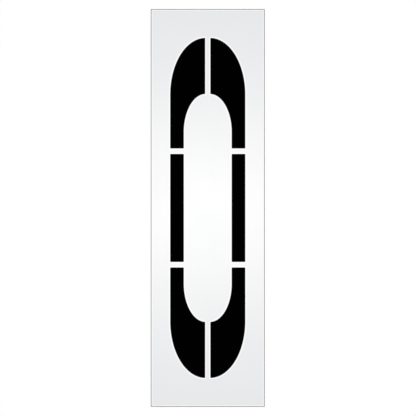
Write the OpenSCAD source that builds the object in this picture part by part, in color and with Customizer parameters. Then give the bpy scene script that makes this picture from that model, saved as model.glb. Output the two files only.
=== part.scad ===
// Road marking stencil for an elongated zero: one flat plastic sheet with six openings.
// The sheet lies flat on the road, centred on the origin, with its underside at z = 0.
// X runs across the sheet, Y along it towards the head of the figure.
// Margins surround the figure, an island fills its middle and bridges hold the island to the margins.

/* [Sheet] */
// Width of the margin on each side of the figure
side_margin = 141; // [60:1:250]
// Depth of the margin beyond each end of the figure
end_margin = 208.5; // [80:0.5:400]
// Thickness of the sheet
sheet_t = 3.2; // [1.6:0.1:6.4]

/* [Figure] */
// Width of the figure over its outer edges
figure_w = 535; // [420:1:700]
// Height of the figure over its outer edges
figure_h = 2438; // [2000:1:3000]
// Width of the stroke down the straight sides
side_stroke = 93.5; // [60:0.5:150]
// Depth of the stroke at the head and at the foot
end_stroke = 399; // [250:1:500]
// Rise of the figure's curved ends
figure_rise = 404; // [250:1:600]
// Rise of the island's curved ends
island_rise = 276; // [150:1:380]
// Short flat between the two curves of each end
crown_flat = 32; // [4:1:40]

/* [Bridges] */
// Width of the bridges at the head and at the foot
end_bridge_w = 41.5; // [20:0.5:80]
// Width of the bridges across the sides
side_bridge_w = 43.5; // [20:0.5:80]
// Distance of the side bridges from the middle of the sheet
side_bridge_y = 407.5; // [250:0.5:460]

/* [Hidden] */

// Milky white of uncoloured polyethylene
sheet_colour = [0.93, 0.935, 0.945];
// Straight steps in each quarter of a curved outline
curve_steps = 32;
// Direction in which each quarter of an outline lies from the centre
quarter_signs = [[1, 1], [-1, 1], [-1, -1], [1, -1]];

figure_half = [figure_w / 2, figure_h / 2];
island_half = [figure_half.x - side_stroke, figure_half.y - end_stroke];
sheet_half = [figure_half.x + side_margin, figure_half.y + end_margin];
// Height at which the figure's straight sides turn into its curved ends
spring_y = figure_half.y - figure_rise;

// Points of a tall outline: straight sides, and quarter ellipses that meet at a short flat
function rounded_outline(half, rise) = [
    for (quarter = [0:3], step = [0:curve_steps])
        let (
            angle = 90 * (quarter + step / curve_steps),
            sign = quarter_signs[quarter],
            curve_half_w = half.x - crown_flat / 2
        )
        [
            sign.x * crown_flat / 2 + curve_half_w * cos(angle),
            sign.y * (half.y - rise) + rise * sin(angle)
        ]
];

module figure_outline() {
    polygon(rounded_outline(figure_half, figure_rise));
}

module island_outline() {
    polygon(rounded_outline(island_half, island_rise));
}

// The figure's stroke, before the bridges interrupt it
module stroke_outline() {
    difference() {
        figure_outline();
        island_outline();
    }
}

// Sheet beyond the curved end of the figure
module end_margin_outline() {
    difference() {
        translate([-sheet_half.x, spring_y]) square([2 * sheet_half.x, sheet_half.y - spring_y]);
        figure_outline();
    }
}

// Sheet beside one straight side of the figure
module side_margin_outline() {
    translate([figure_half.x, -spring_y]) square([side_margin, 2 * spring_y]);
}

// Strip across the stroke on the centre line
module end_bridge_outline() {
    intersection() {
        stroke_outline();
        translate([-end_bridge_w / 2, 0]) square([end_bridge_w, sheet_half.y]);
    }
}

// Strip across one straight side of the stroke
module side_bridge_outline() {
    intersection() {
        stroke_outline();
        translate([0, side_bridge_y - side_bridge_w / 2]) square([sheet_half.x, side_bridge_w]);
    }
}

module head_margin() {
    color(sheet_colour) linear_extrude(sheet_t) end_margin_outline();
}

module foot_margin() {
    color(sheet_colour) linear_extrude(sheet_t) mirror([0, 1, 0]) end_margin_outline();
}

module left_margin() {
    color(sheet_colour) linear_extrude(sheet_t) mirror([1, 0, 0]) side_margin_outline();
}

module right_margin() {
    color(sheet_colour) linear_extrude(sheet_t) side_margin_outline();
}

module island() {
    color(sheet_colour) linear_extrude(sheet_t) island_outline();
}

module head_bridge() {
    color(sheet_colour) linear_extrude(sheet_t) end_bridge_outline();
}

module foot_bridge() {
    color(sheet_colour) linear_extrude(sheet_t) mirror([0, 1, 0]) end_bridge_outline();
}

module upper_right_bridge() {
    color(sheet_colour) linear_extrude(sheet_t) side_bridge_outline();
}

module upper_left_bridge() {
    color(sheet_colour) linear_extrude(sheet_t) mirror([1, 0, 0]) side_bridge_outline();
}

module lower_right_bridge() {
    color(sheet_colour) linear_extrude(sheet_t) mirror([0, 1, 0]) side_bridge_outline();
}

module lower_left_bridge() {
    color(sheet_colour) linear_extrude(sheet_t) rotate(180) side_bridge_outline();
}

head_margin();
foot_margin();
left_margin();
right_margin();
island();
head_bridge();
foot_bridge();
upper_left_bridge();
upper_right_bridge();
lower_left_bridge();
lower_right_bridge();
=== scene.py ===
"""Dresses a road marking stencil: one satin plastic sheet with the openings of a long zero.

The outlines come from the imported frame, in metres. The sheet lies flat with its length along Y.
"""

from math import radians, tan

import bmesh
import bpy
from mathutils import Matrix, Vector


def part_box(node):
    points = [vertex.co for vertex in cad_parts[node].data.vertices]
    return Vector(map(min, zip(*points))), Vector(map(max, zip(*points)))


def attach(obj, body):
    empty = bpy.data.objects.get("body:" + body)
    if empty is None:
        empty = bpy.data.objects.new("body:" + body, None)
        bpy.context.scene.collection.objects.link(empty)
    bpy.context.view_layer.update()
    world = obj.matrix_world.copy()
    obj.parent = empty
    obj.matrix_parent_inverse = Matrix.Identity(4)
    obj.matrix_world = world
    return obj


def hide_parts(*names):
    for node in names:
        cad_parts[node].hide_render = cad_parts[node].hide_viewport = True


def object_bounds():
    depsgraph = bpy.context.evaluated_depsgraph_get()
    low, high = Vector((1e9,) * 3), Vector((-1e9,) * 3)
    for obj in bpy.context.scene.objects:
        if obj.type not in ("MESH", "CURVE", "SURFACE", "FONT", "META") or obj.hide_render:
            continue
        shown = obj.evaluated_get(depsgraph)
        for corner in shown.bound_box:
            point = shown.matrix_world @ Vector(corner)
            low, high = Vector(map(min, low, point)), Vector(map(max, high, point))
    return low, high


bl_info = {
    "name": "Road Marking Stencil",
    "version": (1, 0, 0),
    "blender": (4, 5, 0),
    "location": "3D View > Sidebar > Stencil",
    "description": "Cuts and finishes a stencil sheet and sets it on a plain studio floor",
    "category": "Object",
}

# Distance below which two places count as one
NEAR = 1e-5

# Rise of a face's normal below which the face is a wall
WALL_RISE = 0.1

# Rise of a face's normal above which the face is level
LEVEL_RISE = 0.999

# Turn above which an outline has a corner
CORNER_TURN = radians(45)

# Steps across a rounded edge and round a rounded corner
EDGE_STEPS = 3
CORNER_STEPS = 4

# Angle below which neighbouring faces are shaded as one
SMOOTH_ANGLE = radians(50)

# Material slot of the cut edges, which comes after that of the faces
EDGE_SLOT = 1

# Attributes that fade to 0 away from a cut: its nearness, which places the painted shade line, and
# how much it whitens the plastic
NEAR_CUT = "near_cut"
CUT_WEAR = "cut_wear"

# Refraction of polyethylene
PLASTIC_IOR = 1.51

# Middle of a noise pattern's range, and the detail of a plain, a cloudy and a frosty one
NOISE_MIDDLE = 0.5
PLAIN_DETAIL = 2.0
CLOUD_DETAIL = 3.0
FROST_DETAIL = 5.0

# Shares of the patterns in the haze of the plastic
CLOUD_SHARE = 0.5
DRAW_LINE_SHARE = 0.25
FROST_SHARE = 0.25

# Unevenness that frost gives the whitening, and the wear at which the plastic is fully white
FROST_CONTRAST = 3.0
FULL_WEAR = 0.5

# Changes of roughness over the patterns
CLOUD_ROUGHNESS = 0.03
DRAW_LINE_ROUGHNESS = 0.01
WHITENING_ROUGHNESS = 0.1
CUTTER_MARK_ROUGHNESS = 0.15

# Sockets of a Mix node that mixes colours
MIX_FACTOR = 0
MIX_FIRST = 6
MIX_SECOND = 7
MIX_RESULT = 2

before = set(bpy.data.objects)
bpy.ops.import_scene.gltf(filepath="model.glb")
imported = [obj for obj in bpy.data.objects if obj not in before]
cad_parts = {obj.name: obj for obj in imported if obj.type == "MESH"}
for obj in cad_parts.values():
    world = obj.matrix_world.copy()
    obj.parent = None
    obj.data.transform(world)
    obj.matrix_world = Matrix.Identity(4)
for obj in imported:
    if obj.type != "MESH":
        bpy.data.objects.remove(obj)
cad_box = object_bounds()


def corners_of(node):
    """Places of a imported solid's corners"""
    return [vertex.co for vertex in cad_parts[node].data.vertices]


# Half sizes of the sheet and of its cut-outs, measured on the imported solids
sheet_half = cad_box[1].xy
sheet_thickness = cad_box[1].z - cad_box[0].z
island_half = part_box("island")[1].xy
figure_half = Vector((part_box("upper_right_bridge")[1].x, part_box("head_bridge")[1].y))
end_bridge_half_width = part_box("head_bridge")[1].x
side_bridge_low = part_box("upper_right_bridge")[0].y
side_bridge_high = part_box("upper_right_bridge")[1].y
figure_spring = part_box("head_margin")[0].y
island_spring = max(
    corner.y for corner in corners_of("island") if corner.x > island_half.x - NEAR
)
crown_flat_half = max(
    corner.x for corner in corners_of("head_bridge") if corner.y > figure_half.y - NEAR
)

# Half size of the rectangle that runs along the middle of the margins
margin_middle = (figure_half + sheet_half) / 2


class StencilSheetSizes(bpy.types.PropertyGroup):
    """Sizes of the sheet's finishing that its solids leave open"""

    curve_steps: bpy.props.IntProperty(
        name="Curve Steps",
        description="Straight steps in each quarter of a curved outline",
        default=64,
        min=8,
    )
    corner_round: bpy.props.FloatProperty(
        name="Corner Rounding",
        description="Radius that a round cutter leaves in the corners of each opening",
        default=0.003,
        min=0.0005,
        unit="LENGTH",
    )
    # The rim's rounding takes the edges' near-black painted shade, which draws a dark line round the
    # sheet
    rim_round: bpy.props.FloatProperty(
        name="Rim Rounding",
        description="Width of the worn rounding along the top of the sheet's outer edge",
        default=0.0028,
        unit="LENGTH",
    )
    cut_round: bpy.props.FloatProperty(
        name="Cut Rounding",
        description="Width of the rounding along the top of each opening",
        default=0.0015,
        unit="LENGTH",
    )
    under_round: bpy.props.FloatProperty(
        name="Under Rounding",
        description="Width of the slight rounding along every edge of the underside",
        default=0.0003,
        unit="LENGTH",
    )
    white_band: bpy.props.FloatProperty(
        name="White Band",
        description="Width over which the whitening beside a cut fades out",
        default=0.0115,
        unit="LENGTH",
    )
    rim_wear: bpy.props.FloatProperty(
        name="Rim Wear",
        description="Whitening along the sheet's outer edge, where that beside an opening is 1",
        default=0.5,
        subtype="FACTOR",
        min=0.0,
        max=1.0,
    )
    wave_height: bpy.props.FloatProperty(
        name="Wave Height",
        description="How far the sheet lifts off the floor where it does not lie quite flat",
        default=0.0006,
        unit="LENGTH",
    )
    wave_length: bpy.props.FloatProperty(
        name="Wave Length",
        description="Distance over which the sheet rises and falls",
        default=0.7,
        unit="LENGTH",
    )
    cell: bpy.props.FloatProperty(
        name="Cell",
        description="Spacing of the cuts that let the faces follow the waves",
        default=0.07,
        unit="LENGTH",
    )


class StencilFinish(bpy.types.PropertyGroup):
    """Colours of the plastic, and sizes of the patterns in it"""

    sheet: bpy.props.FloatVectorProperty(
        name="Sheet",
        description="Milky white of the sheet's faces",
        subtype="COLOR",
        default=(0.779, 0.785, 0.799),
    )
    sheet_haze: bpy.props.FloatVectorProperty(
        name="Sheet Haze",
        description="Slightly deeper tone in the cloudy parts of the plastic",
        subtype="COLOR",
        default=(0.742, 0.748, 0.767),
    )
    white_band: bpy.props.FloatVectorProperty(
        name="White Band",
        description="Whiter tone of the plastic beside a cut",
        subtype="COLOR",
        default=(0.97, 0.97, 0.97),
    )
    # Painted shade: near-black that stands in for the shade on the rounded edges and walls, also used
    # for the painted dark line beside each cut
    cut_edge_painted_shade: bpy.props.FloatVectorProperty(
        name="Cut Edge",
        description="Dark tone of the sawn and routed edges",
        subtype="COLOR",
        default=(0.03, 0.03, 0.031),
    )
    # The cutter's marks are a real pattern, but this tone is still near-black as part of the edges'
    # painted shade
    cut_edge_dust: bpy.props.FloatVectorProperty(
        name="Cut Edge Dust",
        description="Paler tone that the cutter's marks leave on those edges",
        subtype="COLOR",
        default=(0.105, 0.105, 0.107),
    )
    sheet_roughness: bpy.props.FloatProperty(
        name="Sheet Roughness",
        description="Roughness of the satin faces",
        default=0.34,
        subtype="FACTOR",
        min=0.0,
        max=1.0,
    )
    sheet_gloss: bpy.props.FloatProperty(
        name="Sheet Gloss",
        description="Reflection of the satin faces, where 0.5 is that of plain plastic",
        default=0.57,
        subtype="FACTOR",
        min=0.0,
        max=1.0,
    )
    edge_roughness: bpy.props.FloatProperty(
        name="Edge Roughness",
        description="Roughness of the sawn and routed edges",
        default=0.5,
        subtype="FACTOR",
        min=0.0,
        max=1.0,
    )
    cloud_size: bpy.props.FloatProperty(
        name="Cloud Size",
        description="Size of the cloudy parts of the plastic",
        default=0.38,
        unit="LENGTH",
    )
    draw_line_width: bpy.props.FloatProperty(
        name="Draw Line Width",
        description="Width of the faint lines that drawing the sheet has left along it",
        default=0.026,
        unit="LENGTH",
    )
    draw_line_length: bpy.props.FloatProperty(
        name="Draw Line Length",
        description="Length of those lines",
        default=2.2,
        unit="LENGTH",
    )
    pebble_size: bpy.props.FloatProperty(
        name="Pebble Size",
        description="Size of the fine pebbling of the faces",
        default=0.0015,
        unit="LENGTH",
    )
    pebble_depth: bpy.props.FloatProperty(
        name="Pebble Depth",
        description="Depth of that pebbling",
        default=0.00008,
        unit="LENGTH",
    )
    frost_size: bpy.props.FloatProperty(
        name="Frost Size",
        description="Size of the uneven patches in the whitening beside a cut",
        default=0.004,
        unit="LENGTH",
    )
    cutter_mark: bpy.props.FloatProperty(
        name="Cutter Mark",
        description="Distance between the marks of the cutter on an edge",
        default=0.0012,
        unit="LENGTH",
    )
    cutter_mark_height: bpy.props.FloatProperty(
        name="Cutter Mark Height",
        description="Length of those marks, up the edge",
        default=0.02,
        unit="LENGTH",
    )
    cutter_mark_depth: bpy.props.FloatProperty(
        name="Cutter Mark Depth",
        description="Depth of those marks",
        default=0.00006,
        unit="LENGTH",
    )
    # Painted shade: a dark line of the edge colour right beside each cut, standing in for the shade
    # along the edge; the next two sizes set its solid width and its reach
    painted_shade_core: bpy.props.FloatProperty(
        name="Grime Core",
        description="Width of the solid grime on the face beside a cut",
        default=0.0007,
        unit="LENGTH",
    )
    painted_shade_reach: bpy.props.FloatProperty(
        name="Grime Reach",
        description="Distance from a cut at which the grime has faded out",
        default=0.0021,
        unit="LENGTH",
    )


class StencilStage(bpy.types.PropertyGroup):
    """Floor, light and picture"""

    floor: bpy.props.FloatVectorProperty(
        name="Floor",
        description="Pale studio floor",
        subtype="COLOR",
        default=(0.995, 0.995, 0.995),
    )
    ground: bpy.props.FloatVectorProperty(
        name="Ground",
        description="Dark ground that shows through the openings",
        subtype="COLOR",
        default=(0.0004, 0.0004, 0.0004),
    )
    floor_span: bpy.props.FloatProperty(
        name="Floor Span",
        description="Length of each side of the floor",
        default=60.0,
        unit="LENGTH",
    )
    floor_drop: bpy.props.FloatProperty(
        name="Floor Drop",
        description="Depth of the floor below the sheet",
        default=0.0004,
        unit="LENGTH",
    )
    ground_drop: bpy.props.FloatProperty(
        name="Ground Drop",
        description="Depth of the dark ground below the sheet",
        default=0.0002,
        unit="LENGTH",
    )
    strip_height: bpy.props.FloatProperty(
        name="Strip Height",
        description="Height of the strip light above the middle of the sheet",
        default=10.0,
        unit="LENGTH",
    )
    strip_length: bpy.props.FloatProperty(
        name="Strip Length",
        description="Length of the strip light, across the sheet",
        default=4.0,
        unit="LENGTH",
    )
    strip_width: bpy.props.FloatProperty(
        name="Strip Width",
        description="Width of the strip light, along the sheet",
        default=0.5,
        unit="LENGTH",
    )
    strip_tint: bpy.props.FloatVectorProperty(
        name="Strip Tint",
        description="Slightly warm colour of the strip light",
        subtype="COLOR",
        default=(1.0, 0.985, 0.91),
    )
    strip_power: bpy.props.FloatProperty(
        name="Strip Power",
        description="Power of the strip light",
        default=350.0,
        unit="POWER",
    )
    surround_tint: bpy.props.FloatVectorProperty(
        name="Surround Tint",
        description="Slightly cool colour of the even light from all round",
        subtype="COLOR",
        default=(0.96, 0.966, 1.0),
    )
    surround_light: bpy.props.FloatProperty(
        name="Surround Light",
        description="Strength of the even light from all round",
        default=0.714,
    )
    lens: bpy.props.FloatProperty(
        name="Lens",
        description="Focal length of the camera",
        default=100.0,
        unit="CAMERA",
    )
    picture_span: bpy.props.FloatProperty(
        name="Picture Span",
        description="Width of floor that the square picture takes in",
        default=2.987,
        unit="LENGTH",
    )
    picture_centre: bpy.props.FloatVectorProperty(
        name="Picture Centre",
        description="Point of the sheet that the camera stands above",
        size=2,
        subtype="XYZ",
        unit="LENGTH",
        default=(0.0018, -0.0004),
    )


class Socket:
    """An output of a finish's node tree, with arithmetic that adds Math nodes"""

    def __init__(self, finish, output):
        self.finish = finish
        self.output = output

    def math(self, operation, first, second):
        return self.finish.add("ShaderNodeMath", {"operation": operation}, {0: first, 1: second})

    def __add__(self, other):
        return self.math("ADD", self, other)

    def __radd__(self, other):
        return self.math("ADD", other, self)

    def __sub__(self, other):
        return self.math("SUBTRACT", self, other)

    def __rsub__(self, other):
        return self.math("SUBTRACT", other, self)

    def __mul__(self, other):
        return self.math("MULTIPLY", self, other)

    def __rmul__(self, other):
        return self.math("MULTIPLY", other, self)


class Finish:
    """A new material, its node tree and its main shader"""

    def __init__(self, name):
        self.material = bpy.data.materials.new(name)
        self.material.use_nodes = True
        self.tree = self.material.node_tree
        self.shader = self.tree.nodes["Principled BSDF"]

    def feed(self, node, sockets):
        """Links each socket of a node to another node's output, or sets it to a number or colour"""
        for name, value in sockets.items():
            if isinstance(value, Socket):
                self.tree.links.new(value.output, node.inputs[name])
            else:
                node.inputs[name].default_value = value

    def add(self, kind, settings, sockets, output=0):
        """Adds a node, sets it up, feeds its sockets and returns one of its outputs"""
        node = self.tree.nodes.new(kind)
        for name, value in settings.items():
            setattr(node, name, value)
        self.feed(node, sockets)
        return Socket(self, node.outputs[output])

    def noise(self, lump, detail=PLAIN_DETAIL):
        """Smooth noise on the piece's own coordinates, with lumps of this length along each axis"""
        place = self.add("ShaderNodeTexCoord", {}, {}, "Object")
        settings = {"vector_type": "TEXTURE"}
        lumps = self.add("ShaderNodeMapping", settings, {"Vector": place, "Scale": lump})
        sockets = {"Vector": lumps, "Scale": 1.0, "Detail": detail}
        return self.add("ShaderNodeTexNoise", {}, sockets, "Fac")

    def mix(self, factor, first, second):
        """Mixes two colours"""
        sockets = {MIX_FACTOR: factor, MIX_FIRST: first, MIX_SECOND: second}
        return self.add("ShaderNodeMix", {"data_type": "RGBA"}, sockets, MIX_RESULT)

    def rise(self, value, start, end):
        """Goes from 0 to 1 as the value goes from start to end"""
        sockets = {"Value": value, "From Min": start, "From Max": end}
        return self.add("ShaderNodeMapRange", {}, sockets, "Result")

    def attribute(self, name):
        """A number that the piece's own vertices carry"""
        return self.add("ShaderNodeAttribute", {"attribute_name": name}, {}, "Fac")

    def bump(self, depth, height):
        """Relief of this depth"""
        return self.add("ShaderNodeBump", {}, {"Distance": depth, "Height": height}, "Normal")

    def shade(self, sockets):
        """Feeds the main shader and returns the finished material"""
        self.feed(self.shader, sockets)
        return self.material


def rgba(colour):
    """An opaque colour"""
    return (*colour, 1.0)


def sheet_face_finish(looks, white_band):
    """Satin polyethylene: cloudy milk white, faint draw lines along it, whiter beside each cut, and a
    painted dark line of shade right at each cut
    """
    finish = Finish("sheet_face")
    clouds = finish.noise([looks.cloud_size] * 3, CLOUD_DETAIL)
    draw_line = [looks.draw_line_width, looks.draw_line_length, looks.draw_line_width]
    draw_lines = finish.noise(draw_line)
    pebble = finish.noise([looks.pebble_size] * 3)
    frost = finish.noise([looks.frost_size] * 3, FROST_DETAIL)
    uneven_wear = finish.attribute(CUT_WEAR) * (1.0 + FROST_CONTRAST * (NOISE_MIDDLE - frost))
    whitening = finish.rise(uneven_wear, 0.0, FULL_WEAR)
    from_cut = (1.0 - finish.attribute(NEAR_CUT)) * white_band
    # Painted shade: a dark line of the edge colour right beside each cut
    painted_edge_shade = finish.rise(from_cut, looks.painted_shade_reach, looks.painted_shade_core)
    haze = CLOUD_SHARE * clouds + DRAW_LINE_SHARE * draw_lines + FROST_SHARE * frost
    plastic = finish.mix(haze, rgba(looks.sheet), rgba(looks.sheet_haze))
    whitened = finish.mix(whitening, plastic, rgba(looks.white_band))
    cloud_roughness = CLOUD_ROUGHNESS * (clouds - NOISE_MIDDLE)
    draw_line_roughness = DRAW_LINE_ROUGHNESS * (draw_lines - NOISE_MIDDLE)
    uneven_roughness = cloud_roughness + draw_line_roughness + WHITENING_ROUGHNESS * whitening
    return finish.shade({
        "Base Color": finish.mix(painted_edge_shade, whitened, rgba(looks.cut_edge_painted_shade)),
        "Roughness": looks.sheet_roughness + uneven_roughness,
        "IOR": PLASTIC_IOR,
        "Specular IOR Level": looks.sheet_gloss,
        "Normal": finish.bump(looks.pebble_depth, pebble),
    })


def cut_edge_finish(looks):
    """Sawn and routed edge: rough, with fine cutter marks, and near-black as painted shade on the
    edge
    """
    finish = Finish("cut_edge_painted_shade")
    cutter_marks = finish.noise([looks.cutter_mark, looks.cutter_mark, looks.cutter_mark_height])
    return finish.shade({
        "Base Color": finish.mix(cutter_marks, rgba(looks.cut_edge_painted_shade), rgba(looks.cut_edge_dust)),
        "Roughness": looks.edge_roughness + CUTTER_MARK_ROUGHNESS * cutter_marks,
        "IOR": PLASTIC_IOR,
        "Normal": finish.bump(looks.cutter_mark_depth, cutter_marks),
    })


def stage_finish(name, colour):
    """Plain dull surface of the stage"""
    sockets = {"Base Color": rgba(colour), "Roughness": 1.0, "Specular IOR Level": 0.0}
    return Finish(name).shade(sockets)


def pick(piece, kind, test):
    """In edit mode, selects only the vertices, edges or faces that pass the test"""
    bpy.ops.mesh.select_mode(type=kind)
    bpy.ops.mesh.select_all(action="DESELECT")
    shape = bmesh.from_edit_mesh(piece.data)
    elements = {"VERT": shape.verts, "EDGE": shape.edges, "FACE": shape.faces}[kind]
    chosen = [element for element in elements if test(element)]
    if not chosen:
        raise RuntimeError(f"nothing to pick on {piece.name}")
    for element in chosen:
        element.select_set(True)
    bmesh.update_edit_mesh(piece.data)


def is_at(vertex, place):
    """Whether a vertex stands at this place, seen from above"""
    return (vertex.co.xy - place).length < NEAR


def bridge_end(piece):
    """In edit mode, place of the vertex nearest to the end bridge"""
    shape = bmesh.from_edit_mesh(piece.data)
    return min((vertex.co.xy.copy() for vertex in shape.verts), key=lambda place: place.x)


def draw_curved_end(name, sizes, half, spring):
    """Draws the curved end of an outline's quarter up to the end bridge, and stays in edit mode"""
    circle_steps = 4 * sizes.curve_steps
    bpy.ops.object.select_all(action="DESELECT")
    bpy.ops.mesh.primitive_circle_add(vertices=circle_steps, radius=1.0, enter_editmode=True)
    piece = bpy.context.object
    piece.name = name
    pick(piece, "VERT", lambda vertex: min(vertex.co.xy) < -NEAR)
    bpy.ops.mesh.delete(type="VERT")
    bpy.ops.mesh.select_all(action="SELECT")
    curve_size = (half.x - crown_flat_half, half.y - spring, 1.0)
    bpy.ops.transform.resize(value=curve_size, center_override=(0.0, 0.0, 0.0))
    bpy.ops.transform.translate(value=(crown_flat_half, spring, 0.0))
    bridge_side = (end_bridge_half_width, 0.0, 0.0)
    bpy.ops.mesh.bisect(plane_co=bridge_side, plane_no=(1.0, 0.0, 0.0), clear_inner=True)
    return piece


def trace_quarter(name, sizes, half, spring, corners):
    """Draws and fills a quarter of an outline: a curved end, then straight edges between corners"""
    piece = draw_curved_end(name, sizes, half, spring)
    bridge_corner = bridge_end(piece)
    # The curve's points beside the bridge make room for the rounding of its corner
    straight_end = bridge_corner.x + 2 * sizes.corner_round
    pick(piece, "VERT", lambda vertex: vertex.co.x < straight_end)
    bpy.ops.mesh.delete(type="VERT")
    start = Vector((half.x, spring))
    end = bridge_end(piece)
    for corner in (bridge_corner, *corners):
        pick(piece, "VERT", lambda vertex: is_at(vertex, end))
        step = Vector(corner) - end
        bpy.ops.mesh.extrude_region_move(TRANSFORM_OT_translate={"value": (*step, 0.0)})
        end = Vector(corner)
    pick(piece, "VERT", lambda vertex: is_at(vertex, end) or is_at(vertex, start))
    bpy.ops.mesh.edge_face_add()
    bpy.ops.mesh.select_all(action="SELECT")
    bpy.ops.mesh.edge_face_add()
    bpy.ops.object.mode_set(mode="OBJECT")
    return piece


def join_pieces(name, pieces):
    """Joins the pieces into the first of them, under a new name"""
    bpy.ops.object.select_all(action="DESELECT")
    for piece in pieces:
        piece.select_set(True)
    bpy.context.view_layer.objects.active = pieces[0]
    bpy.ops.object.join()
    pieces[0].name = name
    pieces[0].data.name = name
    return pieces[0]


def mark(piece, name, marks):
    """Adds an attribute to the piece and sets it on the vertices that pass each test in turn"""
    piece.data.attributes.active = piece.data.attributes.new(name, "FLOAT", "POINT")
    bpy.ops.object.mode_set(mode="EDIT")
    for test, value in marks:
        pick(piece, "VERT", test)
        bpy.ops.mesh.attribute_set(value_float=value)
    bpy.ops.object.mode_set(mode="OBJECT")


def apply_modifier(piece, kind, **settings):
    """Adds a modifier to the piece with these settings and applies it"""
    modifier = piece.modifiers.new(kind.lower(), kind)
    for name, value in settings.items():
        setattr(modifier, name, value)
    bpy.context.view_layer.objects.active = piece
    bpy.ops.object.modifier_apply(modifier=modifier.name)


def is_wall(face):
    """Whether a face is part of an upright edge of the sheet"""
    return abs(face.normal.z) < WALL_RISE


def is_top(face):
    """Whether a face is part of the sheet's flat top"""
    return face.normal.z > LEVEL_RISE


def is_underside(face):
    """Whether a face is part of the sheet's flat underside"""
    return face.normal.z < -LEVEL_RISE


def is_between(edge, first_test, second_test):
    """Whether an edge has a face of one kind on one side and one of the other kind on the other"""
    return any(map(first_test, edge.link_faces)) and any(map(second_test, edge.link_faces))


def is_beside_cut(vertex):
    """Whether a vertex lies on the border of the sheet's flat top"""
    tops = [is_top(face) for face in vertex.link_faces]
    return any(tops) and not all(tops)


def is_near_rim(vertex):
    """Whether a vertex lies nearer to the sheet's outer edge than to the figure"""
    return any(abs(vertex.co[axis]) > margin_middle[axis] for axis in (0, 1))


def is_opening_corner(vertex):
    """Whether a vertex of the flat sheet is a corner of an opening"""
    return vertex.calc_edge_angle(0.0) > CORNER_TURN and not is_near_rim(vertex)


def cut_across(axis, cell):
    """Cuts the whole piece with evenly spaced planes across an axis"""
    half = sheet_half[axis]
    count = round(2 * half / cell)
    normal = Vector((0.0, 0.0, 0.0))
    normal[axis] = 1.0
    for index in range(1, count):
        place = normal * half * (2 * index / count - 1)
        bpy.ops.mesh.select_all(action="SELECT")
        bpy.ops.mesh.bisect(plane_co=place, plane_no=normal)


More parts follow.
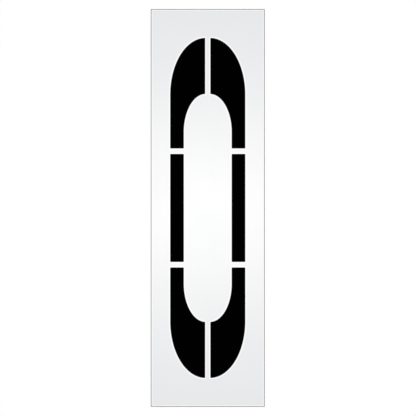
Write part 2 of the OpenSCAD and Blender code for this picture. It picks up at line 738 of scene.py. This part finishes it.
class STENCIL_OT_cut_sheet(bpy.types.Operator):
    """Cut the sheet with its openings, ease its edges and give it its finish"""

    bl_idname = "stencil.cut_sheet"
    bl_label = "Cut Sheet"

    def execute(self, context):
        sizes = context.scene.stencil_sheet_sizes
        looks = context.scene.stencil_finish
        sheet = self.cut_flat(sizes)
        sheet.data.materials.append(sheet_face_finish(looks, sizes.white_band))
        sheet.data.materials.append(cut_edge_finish(looks))
        self.thicken(sheet)
        self.ease_edges(sheet, sizes)
        self.mark_cuts(sheet, sizes)
        self.lay_down(sheet, sizes)
        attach(sheet, "root")
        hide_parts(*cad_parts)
        return {"FINISHED"}

    def cut_flat(self, sizes):
        """Joins a quarter of the margins to a quarter of the island and mirrors them both ways"""
        end_bridge_middle = (island_half.y + figure_half.y) / 2
        side_bridge_middle = (island_half.x + figure_half.x) / 2

        def side_bridge_corners(side):
            """Round one half of the side bridge, which stands on this straight side"""
            return [
                (side, side_bridge_low),
                (side_bridge_middle, side_bridge_low),
                (side_bridge_middle, side_bridge_high),
                (side, side_bridge_high),
            ]

        end_bridge_corners = [(end_bridge_half_width, end_bridge_middle), (0.0, end_bridge_middle)]
        margin_corners = [
            (0.0, sheet_half.y),
            tuple(sheet_half),
            (sheet_half.x, 0.0),
            (figure_half.x, 0.0),
        ]
        island_corners = [(0.0, 0.0), (island_half.x, 0.0)]
        margins = trace_quarter(
            "margin_quarter",
            sizes,
            figure_half,
            figure_spring,
            end_bridge_corners + margin_corners + side_bridge_corners(figure_half.x),
        )
        island = trace_quarter(
            "island_quarter",
            sizes,
            island_half,
            island_spring,
            end_bridge_corners + island_corners + side_bridge_corners(island_half.x),
        )
        sheet = join_pieces("stencil_sheet", [margins, island])
        apply_modifier(sheet, "MIRROR", use_axis=(True, True, False), merge_threshold=NEAR)
        bpy.ops.object.mode_set(mode="EDIT")
        bpy.ops.mesh.select_all(action="SELECT")
        bpy.ops.mesh.remove_doubles(threshold=NEAR)
        bpy.ops.mesh.normals_make_consistent(inside=False)
        first_face = next(iter(bmesh.from_edit_mesh(sheet.data).faces))
        if first_face.normal.z < 0:
            bpy.ops.mesh.flip_normals()
        pick(sheet, "VERT", is_opening_corner)
        bpy.ops.mesh.bevel(offset=sizes.corner_round, segments=CORNER_STEPS, affect="VERTICES")
        bpy.ops.object.mode_set(mode="OBJECT")
        return sheet

    def thicken(self, sheet):
        """Gives the flat sheet its thickness, with edges in the near-black material that paints shade
        on them
        """
        apply_modifier(
            sheet,
            "SOLIDIFY",
            thickness=sheet_thickness,
            offset=1.0,
            material_offset_rim=EDGE_SLOT,
        )

    def ease_edges(self, sheet, sizes):
        """Rounds the top of the rim most, the top of the openings less and the underside least"""

        def is_top_edge(edge):
            return is_between(edge, is_top, is_wall)

        def is_top_of_rim(edge):
            return is_top_edge(edge) and all(map(is_near_rim, edge.verts))

        def is_bottom_edge(edge):
            return is_between(edge, is_underside, is_wall)

        roundings = [
            (is_top_of_rim, sizes.rim_round),
            (is_top_edge, sizes.cut_round),
            (is_bottom_edge, sizes.under_round),
        ]
        bpy.ops.object.mode_set(mode="EDIT")
        for test, width in roundings:
            pick(sheet, "EDGE", test)
            # The rounded faces take the near-black edge material, which paints shade on them
            bpy.ops.mesh.bevel(offset=width, segments=EDGE_STEPS, affect="EDGES", material=EDGE_SLOT)
        bpy.ops.object.mode_set(mode="OBJECT")

    def mark_cuts(self, sheet, sizes):
        """Marks a band beside every cut of the top face, for the whitening and the painted shade line
        """

        def is_beside_rim(vertex):
            return is_beside_cut(vertex) and is_near_rim(vertex)

        bpy.ops.object.mode_set(mode="EDIT")
        pick(sheet, "FACE", is_top)
        bpy.ops.mesh.inset(thickness=sizes.white_band)
        bpy.ops.object.mode_set(mode="OBJECT")
        mark(sheet, NEAR_CUT, [(is_beside_cut, 1.0)])
        mark(sheet, CUT_WEAR, [(is_beside_cut, 1.0), (is_beside_rim, sizes.rim_wear)])

    def lay_down(self, sheet, sizes):
        """Lets the sheet lie in slight waves, with its lowest point on the floor"""
        bpy.ops.object.mode_set(mode="EDIT")
        for axis in (0, 1):
            cut_across(axis, sizes.cell)
        bpy.ops.object.mode_set(mode="OBJECT")
        waves = bpy.data.textures.new("sheet_waves", "CLOUDS")
        waves.noise_scale = sizes.wave_length
        waves.noise_depth = 0
        apply_modifier(
            sheet,
            "DISPLACE",
            texture=waves,
            texture_coords="LOCAL",
            direction="Z",
            strength=sizes.wave_height,
            mid_level=0.0,
        )
        lowest = min(vertex.co.z for vertex in sheet.data.vertices)
        bpy.ops.object.mode_set(mode="EDIT")
        bpy.ops.mesh.select_all(action="SELECT")
        bpy.ops.transform.translate(value=(0.0, 0.0, -lowest))
        bpy.ops.object.mode_set(mode="OBJECT")
        bpy.ops.object.shade_smooth_by_angle(angle=SMOOTH_ANGLE)
        apply_modifier(sheet, "WEIGHTED_NORMAL", keep_sharp=True)


class STENCIL_OT_set_stage(bpy.types.Operator):
    """Lay the floor and the dark ground, hang the light and set up the camera"""

    bl_idname = "stencil.set_stage"
    bl_label = "Set Stage"

    def execute(self, context):
        stage = context.scene.stencil_stage
        floor_size = (stage.floor_span, stage.floor_span)
        self.lay_plane("floor", floor_size, stage.floor_drop, stage_finish("floor", stage.floor))
        ground_size = 2 * margin_middle
        self.lay_plane("ground", ground_size, stage.ground_drop, stage_finish("ground", stage.ground))
        self.hang_light(context.scene, stage)
        self.place_camera(context.scene, stage)
        return {"FINISHED"}

    def lay_plane(self, name, size, drop, finish):
        """Lays a level plane of the stage this far below the sheet"""
        bpy.ops.object.select_all(action="DESELECT")
        bpy.ops.mesh.primitive_plane_add(size=1.0, enter_editmode=True)
        plane = bpy.context.object
        plane.name = name
        bpy.ops.transform.resize(value=(*size, 1.0), center_override=(0.0, 0.0, 0.0))
        bpy.ops.transform.translate(value=(0.0, 0.0, -drop))
        bpy.ops.object.mode_set(mode="OBJECT")
        plane.data.materials.append(finish)

    def hang_light(self, scene, stage):
        """A wide strip straight above, and even light from all round"""
        bpy.ops.object.light_add(type="AREA", location=(0.0, 0.0, stage.strip_height))
        strip = bpy.context.object
        strip.name = "strip_light"
        strip.data.shape = "RECTANGLE"
        strip.data.size = stage.strip_length
        strip.data.size_y = stage.strip_width
        strip.data.color = stage.strip_tint
        strip.data.energy = stage.strip_power
        strip.visible_camera = False
        scene.world = bpy.data.worlds.new("studio")
        scene.world.use_nodes = True
        surround = scene.world.node_tree.nodes["Background"]
        surround.inputs["Color"].default_value = rgba(stage.surround_tint)
        surround.inputs["Strength"].default_value = stage.surround_light

    def place_camera(self, scene, stage):
        """A camera that looks straight down"""
        bpy.ops.object.camera_add(rotation=(0.0, 0.0, 0.0))
        camera = bpy.context.object
        camera.name = "camera"
        camera.data.lens = stage.lens
        distance = stage.picture_span / 2 / tan(camera.data.angle / 2)
        camera.location = (*stage.picture_centre, sheet_thickness + distance)
        scene.camera = camera
        scene.view_settings.view_transform = "Standard"


class STENCIL_PT_panel(bpy.types.Panel):
    """Sizes, colours and steps of the stencil"""

    bl_idname = "STENCIL_PT_panel"
    bl_label = "Road Marking Stencil"
    bl_space_type = "VIEW_3D"
    bl_region_type = "UI"
    bl_category = "Stencil"

    def draw(self, context):
        for name in GROUPS:
            group = getattr(context.scene, name)
            box = self.layout.box()
            for value in group.__annotations__:
                box.prop(group, value)
        for step in STEPS:
            self.layout.operator(step.bl_idname)


GROUPS = {
    "stencil_sheet_sizes": StencilSheetSizes,
    "stencil_finish": StencilFinish,
    "stencil_stage": StencilStage,
}
STEPS = (STENCIL_OT_cut_sheet, STENCIL_OT_set_stage)
CLASSES = (*GROUPS.values(), *STEPS, STENCIL_PT_panel)


def register():
    for item in CLASSES:
        bpy.utils.register_class(item)
    for name, group in GROUPS.items():
        setattr(bpy.types.Scene, name, bpy.props.PointerProperty(type=group))


def unregister():
    for name in GROUPS:
        delattr(bpy.types.Scene, name)
    for item in reversed(CLASSES):
        bpy.utils.unregister_class(item)


def main():
    register()
    bpy.ops.stencil.cut_sheet()
    bpy.ops.stencil.set_stage()


if __name__ == "__main__":
    main()
